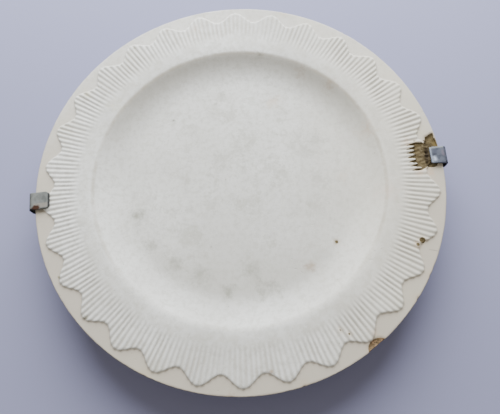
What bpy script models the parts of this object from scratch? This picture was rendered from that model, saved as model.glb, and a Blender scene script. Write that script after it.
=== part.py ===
"""Plaster plate mould with a ribbed shell-edge rim, held in an adjustable strap hanger.

Metres. The mould lies face up: +Z is up, +X is to its right, and the origin is under its centre,
on the plane of the foot ring. The hanger's strap crosses the back along a diameter.
"""
import math

import bmesh
import bpy
from mathutils import Matrix, Vector

COLLECTION_NAME = "plaster_mold_assembly"

# Mould, turned about Z. Radii and heights above the foot.
MOLD_RADIUS = 0.1500
EDGE_FOOT_RADIUS = 0.1496
EDGE_FOOT_Z = 0.0288
UNDERCUT_RADIUS = 0.1486
UNDERCUT_Z = 0.0278
FLANGE_Z = 0.0360
RIM_Z = 0.0374
LIP_RADIUS = 0.1160
WELL_RADIUS = 0.0840
WELL_Z = 0.0270
COVE_RADIUS = 0.1025
COVE_SLOPE = 0.65
COVE_STEPS = 4
FOOT_TOP_RADIUS = 0.1090
FOOT_TOP_Z = 0.0032
FOOT_RADIUS = 0.1075
HOLLOW_MOUTH_RADIUS = 0.0900
HOLLOW_TOP_RADIUS = 0.0860
HOLLOW_TOP_Z = 0.0115
HOLLOW_CEILING_RADIUS = 0.0840
HOLLOW_Z = 0.0130
TURN_STEPS = 120
TURN_MERGE = 0.00001

# Scalloped edge of the ribbed band, and its ribs.
LOBES = 30
LOBE_PHASE_DEG = -4.42
LOBE_MEAN_RADIUS = 0.1402
LOBE_HEIGHT = 0.0042
LOBE_POINTS = 8
SCALLOP_CUT_RADIUS = 0.1530
SCALLOP_CUT_TOP = 0.0400
RIBS = 240
GROOVE_START_RADIUS = 0.1180
GROOVE_END_RADIUS = 0.1465
GROOVE_TOP_Z = 0.0380
GROOVE_START_Z = 0.0373
GROOVE_END_Z = 0.0367
GROOVE_START_HALF = 0.0010
GROOVE_END_HALF = 0.0014

# Strap hanger. Distances along the strap from the mould's centre; heights above the foot.
STRAP_ANGLE_DEG = 6.43
STRAP_HALF_WIDTH = 0.0065
STRAP_THICKNESS = 0.0011
CHANNEL_HALF_WIDTH = 0.0080
CHANNEL_TOP_Z = 0.0083
CHANNEL_BOTTOM_Z = -0.0020
CHANNEL_HALF_LENGTH = 0.1250
HOOK_Z = 0.03835
HOOK_BEND = 0.0022
BACK_BEND = 0.0030
BEND_STEPS = 6
BACK_LINE_RADIUS = 0.10947
BACK_LINE_Z = 0.00244
BACK_SLOPE = (UNDERCUT_Z - FOOT_TOP_Z) / (UNDERCUT_RADIUS - FOOT_TOP_RADIUS)
RIGHT_HOOK_OUT = 0.1532
RIGHT_HOOK_IN = 0.1412
RIGHT_STRAP_Z = 0.0060
RIGHT_STRAP_END = -0.0580
LEFT_HOOK_OUT = 0.1532
LEFT_HOOK_IN = 0.1386
LEFT_STRAP_Z = 0.0046
LEFT_STRAP_END = 0.0080
HOLE_RADIUS = 0.0023
SLOT_OUTER = -0.0502
SLOT_INNER = -0.0161

# Clamp screws, washers and nuts.
SCREW_STATIONS = (-0.0300, -0.0500)
SCREW_RADIUS = 0.0020
SCREW_TOP_Z = 0.0113
SCREW_CHAMFER = 0.0003
HEAD_RADIUS = 0.0038
HEAD_BOTTOM_Z = 0.0004
HEAD_TOP_Z = 0.00265
HEAD_ROUND = 0.0007
DRIVE_HALF_WIDTH = 0.0005
DRIVE_DEPTH = 0.0010
WASHER_RADIUS = 0.0045
WASHER_BOTTOM_Z = 0.00295
WASHER_TOP_Z = 0.00375
NUT_ACROSS_CORNERS = 0.00404
NUT_BOTTOM_Z = 0.00685
NUT_TOP_Z = 0.00985
HEX_SIDES = 6
SMALL_STEPS = 32

# Hanging ring, and the tab that holds it.
PIVOT_STATION = 0.0600
PIVOT_Z = 0.00275
TAB_END = 0.0462
TAB_THICKNESS = 0.0009
TAB_HALF_WIDTH = 0.0045
TAB_PLATE_Z = 0.00475
TAB_CURL_RADIUS = 0.0020
TAB_CURL_SWEEP_DEG = 280.0
TAB_CURL_STEPS = 20
RING_WIRE_RADIUS = 0.00125
RING_HALF_WIDTH = 0.0080
RING_ARM = 0.0120
RING_ARC_STEPS = 16
RING_CORNER = 0.0020
RING_CORNER_STEPS = 4
RING_BEVEL_RESOLUTION = 2
RING_DROOP_DEG = 3.2
RIVET_STATIONS = (0.0495, 0.0555)
RIVET_RADIUS = 0.0013
RIVET_HOLE_RADIUS = 0.0016
RIVET_HEAD_RADIUS = 0.0022
RIVET_HEAD_RIM = 0.0004
RIVET_FOOT_BOTTOM_Z = 0.0031
RIVET_FOOT_TOP_Z = 0.0040
RIVET_HEAD_BOTTOM_Z = 0.00685
RIVET_HEAD_TOP_Z = 0.00785
RIVET_CROWN_RADIUS = 0.0010

MERGE_DISTANCE = 0.000002
CUT_MARGIN = 0.0020

PLASTER = ("plaster", (0.80, 0.79, 0.75, 1.0), 0.0, 0.85)
GALVANISED = ("galvanised_steel", (0.50, 0.52, 0.53, 1.0), 1.0, 0.42)
ZINC = ("zinc_plated_steel", (0.62, 0.62, 0.60, 1.0), 1.0, 0.32)
WIRE = ("wire_steel", (0.45, 0.45, 0.46, 1.0), 1.0, 0.36)


def clear_objects():
    """Empty the file of the objects it opened with."""
    for item in list(bpy.data.objects):
        bpy.data.objects.remove(item, do_unlink=True)


def make_collection(name, hidden):
    """Make a collection in the scene; a hidden one holds construction cutters."""
    group = bpy.data.collections.new(name)
    bpy.context.scene.collection.children.link(group)
    group.hide_render = hidden
    return group


clear_objects()
PARTS = make_collection(COLLECTION_NAME, False)
CUTTERS = make_collection("cutters", True)


def make_material(name, look):
    """Make one sub-part's own Principled material."""
    material = bpy.data.materials.new(name + "_" + look[0])
    material.use_nodes = True
    shader = material.node_tree.nodes["Principled BSDF"]
    shader.inputs["Base Color"].default_value = look[1]
    shader.inputs["Metallic"].default_value = look[2]
    shader.inputs["Roughness"].default_value = look[3]
    material.diffuse_color = look[1]
    return material


def strap_matrix(station, height):
    """Frame on the strap's line: X along the strap, Y up, Z across it."""
    angle = math.radians(STRAP_ANGLE_DEG)
    along = Vector((math.cos(angle), math.sin(angle), 0.0))
    up = Vector((0.0, 0.0, 1.0))
    across = along.cross(up)
    matrix = Matrix((along, up, across)).transposed().to_4x4()
    matrix.translation = along * station + up * height
    return matrix


def upright_matrix(station):
    """Frame on the strap's line with Z up."""
    angle = math.radians(STRAP_ANGLE_DEG)
    spot = Vector((math.cos(angle), math.sin(angle), 0.0)) * station
    return Matrix.Translation(spot) @ Matrix.Rotation(angle, 4, "Z")


def add_mesh_object(name, bm, group):
    """Turn a finished bmesh into a named object."""
    mesh = bpy.data.meshes.new(name)
    bm.to_mesh(mesh)
    bm.free()
    item = bpy.data.objects.new(name, mesh)
    group.objects.link(item)
    return item


def apply_modifiers(item):
    """Replace an object's mesh by what its modifiers make of it."""
    bpy.context.view_layer.update()
    graph = bpy.context.evaluated_depsgraph_get()
    mesh = bpy.data.meshes.new_from_object(item.evaluated_get(graph))
    old = item.data
    item.modifiers.clear()
    item.data = mesh
    bpy.data.meshes.remove(old)


def turned(name, profile, steps, group):
    """Turn an open profile, given top to bottom at +X, about Z."""
    bm = bmesh.new()
    spots = [bm.verts.new((radius, 0.0, height)) for radius, height in profile]
    for first, second in zip(spots, spots[1:]):
        bm.edges.new((first, second))
    item = add_mesh_object(name, bm, group)
    screw = item.modifiers.new("turn", "SCREW")
    screw.axis = "Z"
    screw.angle = math.tau
    screw.steps = steps
    screw.render_steps = steps
    screw.use_merge_vertices = True
    screw.merge_threshold = TURN_MERGE
    screw.use_normal_calculate = True
    apply_modifiers(item)
    return item


def flat_shape(name, outlines, half_thickness, matrix, group):
    """Fill closed outlines drawn in XY and give them thickness along Z."""
    curve = bpy.data.curves.new(name + "_outline", "CURVE")
    curve.dimensions = "2D"
    curve.fill_mode = "BOTH"
    curve.extrude = half_thickness
    for outline in outlines:
        spline = curve.splines.new("POLY")
        spline.points.add(len(outline) - 1)
        for point, (across, up) in zip(spline.points, outline):
            point.co = (across, up, 0.0, 1.0)
        spline.use_cyclic_u = True
    source = bpy.data.objects.new(name + "_curve", curve)
    group.objects.link(source)
    return curve_to_mesh(name, source, matrix, group)


def curve_to_mesh(name, source, matrix, group):
    """Make a welded mesh object from a curve object and place it."""
    bpy.context.view_layer.update()
    graph = bpy.context.evaluated_depsgraph_get()
    mesh = bpy.data.meshes.new_from_object(source.evaluated_get(graph))
    bm = bmesh.new()
    bm.from_mesh(mesh)
    bmesh.ops.remove_doubles(bm, verts=bm.verts, dist=MERGE_DISTANCE)
    bmesh.ops.recalc_face_normals(bm, faces=bm.faces)
    item = add_mesh_object(name, bm, group)
    bpy.data.meshes.remove(mesh)
    bpy.data.objects.remove(source, do_unlink=True)
    item.matrix_world = matrix
    return item


def cylinder_cutter(name, radius, bottom, top, matrix):
    """Make an upright round cutter."""
    bm = bmesh.new()
    place = Matrix.Translation((0.0, 0.0, (bottom + top) / 2))
    bmesh.ops.create_cone(
        bm, cap_ends=True, segments=SMALL_STEPS, radius1=radius, radius2=radius,
        depth=top - bottom, matrix=place,
    )
    item = add_mesh_object(name, bm, CUTTERS)
    item.matrix_world = matrix
    return item


def box_cutter(name, size, centre, matrix):
    """Make a box cutter of the given size about a centre."""
    bm = bmesh.new()
    place = Matrix.Translation(centre) @ Matrix.Diagonal((size[0], size[1], size[2], 1.0))
    bmesh.ops.create_cube(bm, size=1.0, matrix=place)
    item = add_mesh_object(name, bm, CUTTERS)
    item.matrix_world = matrix
    return item


def cut(item, cutter):
    """Subtract a cutter from an object."""
    cutter.display_type = "WIRE"
    cutter.hide_render = True
    bpy.context.view_layer.update()
    boolean = item.modifiers.new("cut", "BOOLEAN")
    boolean.operation = "DIFFERENCE"
    boolean.solver = "EXACT"
    boolean.object = cutter
    apply_modifiers(item)
    bpy.data.objects.remove(cutter, do_unlink=True)


def finish(item, look, smooth_angle_deg):
    """Give a finished piece its material and its shading."""
    item.data.materials.clear()
    item.data.materials.append(make_material(item.name, look))
    bm = bmesh.new()
    bm.from_mesh(item.data)
    bmesh.ops.recalc_face_normals(bm, faces=bm.faces)
    limit = math.radians(smooth_angle_deg)
    for face in bm.faces:
        face.smooth = True
    for edge in bm.edges:
        if len(edge.link_faces) == 2:
            edge.smooth = edge.calc_face_angle() < limit
    bm.to_mesh(item.data)
    bm.free()


def lobe_radius(angle):
    """Radius of the scalloped edge at an angle about Z."""
    turn = LOBES * (angle - math.radians(LOBE_PHASE_DEG))
    return LOBE_MEAN_RADIUS + LOBE_HEIGHT * math.cos(turn)


def circle_points(radius, count):
    """Points evenly around a circle."""
    return [
        (radius * math.cos(math.tau * k / count), radius * math.sin(math.tau * k / count))
        for k in range(count)
    ]


def mold_profile():
    """Half section of the mould, from its face's centre round to its hollow back."""
    points = [(0.0, WELL_Z), (WELL_RADIUS, WELL_Z)]
    for step in range(1, COVE_STEPS + 1):
        share = step / COVE_STEPS
        span = COVE_RADIUS - WELL_RADIUS
        points.append((WELL_RADIUS + span * share, WELL_Z + COVE_SLOPE * span * share ** 2 / 2))
    for step in range(COVE_STEPS):
        share = step / COVE_STEPS
        span = LIP_RADIUS - COVE_RADIUS
        points.append((LIP_RADIUS - span * share, RIM_Z - COVE_SLOPE * span * share ** 2 / 2))
    points[-COVE_STEPS:] = points[-COVE_STEPS:][::-1]
    points.append((MOLD_RADIUS, RIM_Z))
    points.append((EDGE_FOOT_RADIUS, EDGE_FOOT_Z))
    points.append((UNDERCUT_RADIUS, UNDERCUT_Z))
    points.append((FOOT_TOP_RADIUS, FOOT_TOP_Z))
    points.append((FOOT_RADIUS, 0.0))
    points.append((HOLLOW_MOUTH_RADIUS, 0.0))
    points.append((HOLLOW_TOP_RADIUS, HOLLOW_TOP_Z))
    points.append((HOLLOW_CEILING_RADIUS, HOLLOW_Z))
    points.append((0.0, HOLLOW_Z))
    return points


def scallop_cutter():
    """Ring that takes the flange down outside the scalloped edge."""
    count = LOBES * LOBE_POINTS
    phase = math.radians(LOBE_PHASE_DEG)
    scallop = []
    for k in range(count):
        angle = phase + math.tau * k / count
        radius = lobe_radius(angle)
        scallop.append((radius * math.cos(angle), radius * math.sin(angle)))
    outer = circle_points(SCALLOP_CUT_RADIUS, TURN_STEPS)
    middle = (FLANGE_Z + SCALLOP_CUT_TOP) / 2
    half = (SCALLOP_CUT_TOP - FLANGE_Z) / 2
    matrix = Matrix.Translation((0.0, 0.0, middle))
    return flat_shape("scallop_cutter", [outer, scallop], half, matrix, CUTTERS)


def groove_corners(angle):
    """Six corners of one V groove between two ribs."""
    turn = Matrix.Rotation(angle, 3, "Z")
    local = (
        (GROOVE_START_RADIUS, -GROOVE_START_HALF, GROOVE_TOP_Z),
        (GROOVE_START_RADIUS, GROOVE_START_HALF, GROOVE_TOP_Z),
        (GROOVE_START_RADIUS, 0.0, GROOVE_START_Z),
        (GROOVE_END_RADIUS, -GROOVE_END_HALF, GROOVE_TOP_Z),
        (GROOVE_END_RADIUS, GROOVE_END_HALF, GROOVE_TOP_Z),
        (GROOVE_END_RADIUS, 0.0, GROOVE_END_Z),
    )
    return [turn @ Vector(corner) for corner in local]


def groove_cutter():
    """All the V grooves between the ribs, as one cutter."""
    bm = bmesh.new()
    phase = math.radians(LOBE_PHASE_DEG)
    for k in range(RIBS):
        corners = groove_corners(phase + math.tau * (k + 0.5) / RIBS)
        spots = [bm.verts.new(corner) for corner in corners]
        bmesh.ops.convex_hull(bm, input=spots)
    return add_mesh_object("groove_cutter", bm, CUTTERS)


def build_mold():
    """Turned plaster block with its scalloped, ribbed rim and the strap's channel."""
    mold = turned("plaster_mold", mold_profile(), TURN_STEPS, PARTS)
    cut(mold, scallop_cutter())
    cut(mold, groove_cutter())
    size = (2 * CHANNEL_HALF_LENGTH, 2 * CHANNEL_HALF_WIDTH, CHANNEL_TOP_Z - CHANNEL_BOTTOM_Z)
    centre = (0.0, 0.0, (CHANNEL_TOP_Z + CHANNEL_BOTTOM_Z) / 2)
    cut(mold, box_cutter("channel_cutter", size, centre, upright_matrix(0.0)))
    finish(mold, PLASTER, 30.0)
    return mold


def rounded_path(points, radii):
    """Round the inner corners of an open path."""
    path = [Vector(points[0])]
    for before, corner, after, radius in zip(points, points[1:], points[2:], radii):
        corner = Vector(corner)
        back = (Vector(before) - corner).normalized()
        ahead = (Vector(after) - corner).normalized()
        half_angle = back.angle(ahead) / 2
        reach = radius / math.tan(half_angle)
        centre = corner + (back + ahead).normalized() * (radius / math.sin(half_angle))
        start = corner + back * reach - centre
        sweep = start.angle_signed(corner + ahead * reach - centre)
        for step in range(BEND_STEPS + 1):
            turn = Matrix.Rotation(-sweep * step / BEND_STEPS, 2)
            path.append(centre + turn @ start)
    path.append(Vector(points[-1]))
    return path


def strip_outline(path, thickness):
    """Closed outline of a strip of even thickness along a path."""
    left = []
    right = []
    for index, point in enumerate(path):
        before = path[max(index - 1, 0)]
        after = path[min(index + 1, len(path) - 1)]
        ahead = (after - before).normalized()
        side = Vector((-ahead.y, ahead.x)) * (thickness / 2)
        left.append(point + side)
        right.append(point - side)
    return [tuple(spot) for spot in left + right[::-1]]


def back_station(height):
    """Distance from the centre at which the strap's back slope has a height."""
    return BACK_LINE_RADIUS + (height - BACK_LINE_Z) / BACK_SLOPE


def strap_path(hook_in, hook_out, level, end):
    """Centre line of one strap, from its lip over the rim to its end in the hollow."""
    slope_top = BACK_LINE_Z + (hook_out - BACK_LINE_RADIUS) * BACK_SLOPE
    corners = [
        (hook_in, HOOK_Z),
        (hook_out, HOOK_Z),
        (hook_out, slope_top),
        (back_station(level), level),
        (end, level),
    ]
    return rounded_path(corners, (HOOK_BEND, HOOK_BEND, BACK_BEND))


def build_strap(name, path, mirrored):
    """Cut one hanger strap from strip, bent along its path."""
    if mirrored:
        path = [Vector((-point.x, point.y)) for point in path]
    outline = strip_outline(path, STRAP_THICKNESS)
    return flat_shape(name, [outline], STRAP_HALF_WIDTH, strap_matrix(0.0, 0.0), PARTS)


def build_right_strap():
    """Long strap with the ring's rivet holes and the clamp screws' holes."""
    path = strap_path(RIGHT_HOOK_IN, RIGHT_HOOK_OUT, RIGHT_STRAP_Z, RIGHT_STRAP_END)
    strap = build_strap("right_strap", path, False)
    low = RIGHT_STRAP_Z - CUT_MARGIN
    high = RIGHT_STRAP_Z + CUT_MARGIN
    for station in SCREW_STATIONS:
        cut(strap, cylinder_cutter("hole", HOLE_RADIUS, low, high, upright_matrix(station)))
    for station in RIVET_STATIONS:
        cut(strap, cylinder_cutter("hole", RIVET_HOLE_RADIUS, low, high, upright_matrix(station)))
    finish(strap, GALVANISED, 30.0)


def slot_outline():
    """Outline of the left strap's slot: two half circles and their sides."""
    points = []
    half_steps = SMALL_STEPS // 2
    for centre, start in ((SLOT_INNER, -math.pi / 2), (SLOT_OUTER, math.pi / 2)):
        for step in range(half_steps + 1):
            angle = start + math.pi * step / half_steps
            points.append((centre + HOLE_RADIUS * math.cos(angle), HOLE_RADIUS * math.sin(angle)))
    return points


def build_left_strap():
    """Sliding strap with the slot that the clamp screws pass through."""
    path = strap_path(LEFT_HOOK_IN, LEFT_HOOK_OUT, LEFT_STRAP_Z, LEFT_STRAP_END)
    strap = build_strap("left_strap", path, True)
    matrix = upright_matrix(0.0) @ Matrix.Translation((0.0, 0.0, LEFT_STRAP_Z))
    cut(strap, flat_shape("slot_cutter", [slot_outline()], CUT_MARGIN, matrix, CUTTERS))
    finish(strap, GALVANISED, 30.0)


def build_clamp_screw(index, station):
    """Pan-head clamp screw, its slotted head under the straps."""
    profile = [
        (0.0, SCREW_TOP_Z),
        (SCREW_RADIUS - SCREW_CHAMFER, SCREW_TOP_Z),
        (SCREW_RADIUS, SCREW_TOP_Z - SCREW_CHAMFER),
        (SCREW_RADIUS, HEAD_TOP_Z),
        (HEAD_RADIUS, HEAD_TOP_Z),
        (HEAD_RADIUS, HEAD_BOTTOM_Z + HEAD_ROUND),
        (HEAD_RADIUS - HEAD_ROUND, HEAD_BOTTOM_Z),
        (0.0, HEAD_BOTTOM_Z),
    ]
    screw = turned("clamp_screw_%d" % index, profile, SMALL_STEPS, PARTS)
    size = (2 * DRIVE_HALF_WIDTH, 4 * HEAD_RADIUS, 2 * DRIVE_DEPTH)
    cut(screw, box_cutter("drive_cutter", size, (0.0, 0.0, HEAD_BOTTOM_Z), Matrix.Identity(4)))
    screw.matrix_world = upright_matrix(station)
    finish(screw, ZINC, 30.0)


def ring_solid(name, outer, radius, bottom, top, station):
    """Flat piece with a round hole, such as a washer or a nut."""
    hole = circle_points(radius, SMALL_STEPS)
    middle = Matrix.Translation((0.0, 0.0, (bottom + top) / 2))
    matrix = upright_matrix(station) @ middle
    return flat_shape(name, [outer, hole], (top - bottom) / 2, matrix, PARTS)


def build_clamp(index, station):
    """One clamp screw with its washer and its nut."""
    build_clamp_screw(index, station)
    disc = circle_points(WASHER_RADIUS, SMALL_STEPS)
    name = "clamp_washer_%d" % index
    washer = ring_solid(name, disc, HOLE_RADIUS, WASHER_BOTTOM_Z, WASHER_TOP_Z, station)
    finish(washer, ZINC, 30.0)
    hexagon = circle_points(NUT_ACROSS_CORNERS, HEX_SIDES)
    name = "clamp_nut_%d" % index
    nut = ring_solid(name, hexagon, HOLE_RADIUS, NUT_BOTTOM_Z, NUT_TOP_Z, station)
    finish(nut, ZINC, 30.0)


def tab_path():
    """Centre line of the ring's tab: a flat plate ending in a curl about the pivot."""
    path = [Vector((TAB_END, TAB_PLATE_Z))]
    for step in range(TAB_CURL_STEPS + 1):
        angle = math.radians(90.0 - TAB_CURL_SWEEP_DEG * step / TAB_CURL_STEPS)
        spot = Vector((math.cos(angle), math.sin(angle))) * TAB_CURL_RADIUS
        path.append(Vector((PIVOT_STATION, PIVOT_Z)) + spot)
    return path


def build_ring_tab():
    """Sheet tab riveted under the right strap, curled round the ring's straight leg."""
    outline = strip_outline(tab_path(), TAB_THICKNESS)
    tab = flat_shape("ring_tab", [outline], TAB_HALF_WIDTH, strap_matrix(0.0, 0.0), PARTS)
    low = TAB_PLATE_Z - TAB_THICKNESS
    high = TAB_PLATE_Z + TAB_THICKNESS
    for station in RIVET_STATIONS:
        cut(tab, cylinder_cutter("hole", RIVET_HOLE_RADIUS, low, high, upright_matrix(station)))
    finish(tab, GALVANISED, 30.0)


def ring_centre_line():
    """Closed D shape: straight leg on the pivot, two arms and a half circle."""
    points = []
    for side, start in ((-1.0, 180.0), (1.0, 90.0)):
        centre = Vector((RING_CORNER, side * (RING_HALF_WIDTH - RING_CORNER)))
        corner = []
        for step in range(RING_CORNER_STEPS + 1):
            angle = math.radians(start + 90.0 * step / RING_CORNER_STEPS)
            corner.append(centre + Vector((math.cos(angle), math.sin(angle))) * RING_CORNER)
        points.append(corner)
    arc = []
    for step in range(RING_ARC_STEPS + 1):
        angle = math.radians(-90.0 + 180.0 * step / RING_ARC_STEPS)
        spot = Vector((math.cos(angle), math.sin(angle))) * RING_HALF_WIDTH
        arc.append(Vector((RING_ARM, 0.0)) + spot)
    return points[0] + arc + points[1]


def build_hanging_ring():
    """Wire D-ring, its origin on the pivot's axis."""
    curve = bpy.data.curves.new("hanging_ring_wire", "CURVE")
    curve.dimensions = "3D"
    curve.bevel_depth = RING_WIRE_RADIUS
    curve.bevel_resolution = RING_BEVEL_RESOLUTION
    line = ring_centre_line()
    spline = curve.splines.new("POLY")
    spline.points.add(len(line) - 1)
    for point, spot in zip(spline.points, line):
        point.co = (spot.x, spot.y, 0.0, 1.0)
    spline.use_cyclic_u = True
    source = bpy.data.objects.new("hanging_ring_curve", curve)
    PARTS.objects.link(source)
    droop = Matrix.Rotation(math.radians(RING_DROOP_DEG), 4, "Y")
    matrix = upright_matrix(PIVOT_STATION) @ Matrix.Translation((0.0, 0.0, PIVOT_Z)) @ droop
    ring = curve_to_mesh("hanging_ring", source, matrix, PARTS)
    finish(ring, WIRE, 60.0)


def build_rivet(index, station):
    """Rivet through the right strap and the ring's tab."""
    profile = [
        (0.0, RIVET_HEAD_TOP_Z),
        (RIVET_CROWN_RADIUS, RIVET_HEAD_TOP_Z),
        (RIVET_HEAD_RADIUS, RIVET_HEAD_BOTTOM_Z + RIVET_HEAD_RIM),
        (RIVET_HEAD_RADIUS, RIVET_HEAD_BOTTOM_Z),
        (RIVET_RADIUS, RIVET_HEAD_BOTTOM_Z),
        (RIVET_RADIUS, RIVET_FOOT_TOP_Z),
        (RIVET_HEAD_RADIUS, RIVET_FOOT_TOP_Z),
        (RIVET_HEAD_RADIUS, RIVET_FOOT_TOP_Z - RIVET_HEAD_RIM),
        (RIVET_CROWN_RADIUS, RIVET_FOOT_BOTTOM_Z),
        (0.0, RIVET_FOOT_BOTTOM_Z),
    ]
    rivet = turned("tab_rivet_%d" % index, profile, SMALL_STEPS, PARTS)
    rivet.matrix_world = upright_matrix(station)
    finish(rivet, ZINC, 40.0)


build_mold()
build_right_strap()
build_left_strap()
for number, place in enumerate(SCREW_STATIONS, 1):
    build_clamp(number, place)
build_ring_tab()
build_hanging_ring()
for number, place in enumerate(RIVET_STATIONS, 1):
    build_rivet(number, place)
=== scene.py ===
"""Looks of the plaster plate mould and its strap hanger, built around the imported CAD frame.

Lengths are millimetres in the shape functions and metres in the objects.
"""

import math

import bmesh
import bpy
import numpy as np
from mathutils import Matrix, Vector


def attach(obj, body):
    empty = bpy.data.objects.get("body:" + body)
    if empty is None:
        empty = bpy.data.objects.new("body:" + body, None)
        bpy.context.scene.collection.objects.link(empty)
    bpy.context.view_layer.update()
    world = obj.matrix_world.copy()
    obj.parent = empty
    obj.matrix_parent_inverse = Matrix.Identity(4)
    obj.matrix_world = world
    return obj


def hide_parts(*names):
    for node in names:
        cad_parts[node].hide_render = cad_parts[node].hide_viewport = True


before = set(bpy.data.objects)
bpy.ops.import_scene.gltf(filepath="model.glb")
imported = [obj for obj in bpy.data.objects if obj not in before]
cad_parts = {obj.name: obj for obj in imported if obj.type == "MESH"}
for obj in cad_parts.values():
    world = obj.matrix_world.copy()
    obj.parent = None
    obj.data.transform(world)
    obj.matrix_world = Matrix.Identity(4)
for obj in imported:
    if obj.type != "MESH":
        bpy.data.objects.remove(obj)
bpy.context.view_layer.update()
MM = 0.001

# The camera, with its place in millimetres over the flange's centre, in its own axes.
CAMERA_TILT = (math.radians(-17.7), math.radians(-1.57))
CAMERA_SPOT = Vector((8.2, -20.6, 367.0))
CAMERA_LENS = 36.0
CAMERA_SENSOR = 36.0

# Light and floor, in metres and watts.
WORLD_COLOUR = (1.0, 0.95, 0.88)
WORLD_STRENGTH = 0.42
WINDOW_SPOT = (-0.01, 0.70, 0.48)
WINDOW_SIZE = 1.05
WINDOW_POWER = 28.5
WINDOW_COLOUR = (0.925, 0.96, 1.0)
FLOOR_COLOUR = (0.285, 0.290, 0.435, 1.0)
FLOOR_HALF = 12.0
FLOOR_ROUGHNESS = 0.9

# The mould's section, as in the CAD.
DISC_R = 150.0
FLANGE_Z = 36.0
RIM_Z = 37.4
LIP_R = 116.0
WELL_R = 83.0
WELL_Z = 27.0
COVE_STEEPNESS = ((83.0, 0.0), (105.3, 1.0), (109.6, 0.14), (116.0, 0.0))
EDGE_FOOT = (149.6, 28.8)
BACK_TOP = (148.6, 27.8)
BACK_FOOT = (109.0, 3.2)
FOOT_OUT = 107.5
FOOT_IN = 90.0
HOLLOW_TOP = (86.0, 11.5)
HOLLOW_Z = 13.0
HOLLOW_CEILING_RADII = (84.0, 81.0, 60.0, 40.0, 20.0)
# Rings of the mesh: in the well, each ring's radius and number of points.
WELL_RINGS = ((5, 30), (11, 60), (20, 120), (32, 240), (46, 240), (58, 480), (68, 480), (75, 480))
COVE_RINGS = 31
BAND_RINGS = 21
STEP_HEIGHT = 1.4
STEP_WIDTH = 2.0
STEP_RINGS = (
    # distance outside the scallops, drop below the rim, darkening at the foot (dirty and painted shade)
    (0.0, 0.22, 0.1),
    (0.4, 0.62, 0.5),
    (0.8, 1.08, 0.9),
    (1.3, 1.36, 1.0),
    (STEP_WIDTH, STEP_HEIGHT, 0.6),
)
# Shares of the way from the scallops to the edge.
FLANGE_SHARES = (0.14, 0.28, 0.42, 0.56, 0.68, 0.80, 0.90, 1.0)
EDGE_RINGS = (
    # radius, drop below the flange
    (149.75, 0.12),
    (149.95, 0.35),
    (DISC_R, 0.9),
    (149.95, 2.2),
    (149.9, 3.6),
)
# Shares of the way down the tapering back.
BACK_SHARES = (0.02, 0.2, 0.4, 0.6, 0.8, 0.98)
MOLD_SMOOTH = 42.0

# The ribbed, scalloped band.
LOBES = 30
RIBS = 240
PHASE = math.radians(-4.42)
LOBE_MEAN = 140.2
LOBE_HEIGHT = 4.2
RIB_DEPTH = 0.70
RIB_TIP = 0.35
RIB_FADE_START = 116.5
RIB_FADE_END = 127.0
FINE_STEPS = 1920
FLANGE_STEPS = 960
PLAIN_STEPS = 480

# The hanger: stations along its line, levels above the foot ring, widths and radii.
STRAP_ANGLE = math.radians(6.43)
STRAP_HALF = 6.5
STRAP_THICK = 1.1
CHANNEL_HALF = 8.0
CHANNEL_TOP = 8.3
CHANNEL_MIDDLE = 101
CHANNEL_LENGTH = 44
CUTTER_SPARE = 2
HOOK_Z = 38.35
HOOK_OUT = 153.2
BACK_LINE = (109.47, 2.44)
BACK_SLOPE = (BACK_TOP[1] - BACK_FOOT[1]) / (BACK_TOP[0] - BACK_FOOT[0])
SCREW_STATIONS = (-30.0, -50.0)
RIVET_STATIONS = (49.5, 55.5)
SCREW_HOLE = 2.3
RIVET_HOLE = 1.6
SLOT_ENDS = (-50.2, -16.1)
RIGHT_LIP = 141.2
RIGHT_LEVEL = 6.0
RIGHT_END = -58.0
RIGHT_CORNER = 0.5
LEFT_LIP = 138.6
LEFT_LEVEL = 4.6
LEFT_END = 8.0
LEFT_CORNER = 1.6
BEND_RADII = (2.2, 2.2, 3.0)
STRAP_PIECE = 3.0
STRAP_SHARES = (-1.0, -0.9, -0.7, -0.35, 0.0, 0.35, 0.7, 0.9, 1.0)
STRAP_BEVEL = 0.18
STRAP_SMOOTH = 35.0
HOLE_STEPS = 20
# The right hook is turned in plan about a pivot; the turn fades out down its slope.
HOOK_PIVOT = Vector((147.0, 0.0, 0.0))
RIGHT_SKEW = math.radians(-3.5)
SKEW_START = 128.0
SKEW_RUN = 10.0
SKEW_FLOOR = 14.0

# Broken and worn places, on the face, in millimetres from its centre.
CORNER_BREAK = (
    (130.3, 29.0), (133.6, 27.2), (137.7, 27.2), (138.8, 32.4), (144.6, 35.8), (147.6, 25.4),
    (147.8, 17.0), (145.6, 9.0), (141.4, 7.4), (138.1, 8.0), (135.3, 6.2), (129.4, 5.4),
    (128.4, 9.3), (127.2, 12.5), (126.5, 17.0), (126.4, 21.0), (127.2, 26.2),
)
EDGE_CHIPS = (
    # x, y, half length along the edge, depth inwards, depth down
    (92.0, -118.4, 7.4, 4.8, 1.5),
    (121.5, -87.5, 1.6, 0.7, 0.8),
    (132.0, -71.5, 2.2, 0.9, 1.2),
    (43.3, -143.6, 1.7, 0.8, 0.9),
    (35.7, 145.6, 1.2, 0.6, 0.7),
    (-61.0, -137.0, 1.5, 0.6, 0.8),
)
SMALL_PITS = (
    # x, y, radius, depth
    (128.4, -47.2, 2.2, 0.8),
    (125.0, -50.3, 1.3, 0.5),
    (73.9, -110.6, 0.8, 0.6),
    (68.1, -108.0, 0.7, 0.5),
    (70.4, -45.6, 1.3, 0.3),
    (51.2, -62.0, 0.9, 0.25),
)
# x, y, half length in x, half length in y, depth
CAVITY = (139.4, 17.2, 3.0, 11.0, 3.0)
# Broken ribs stand out as a comb on the break's inner side, up to an x and a y.
COMB_REACH = 6.6
COMB_END = (135.0, 28.5)
# What a point far from any break carries.
UNBROKEN = -9.0

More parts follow.
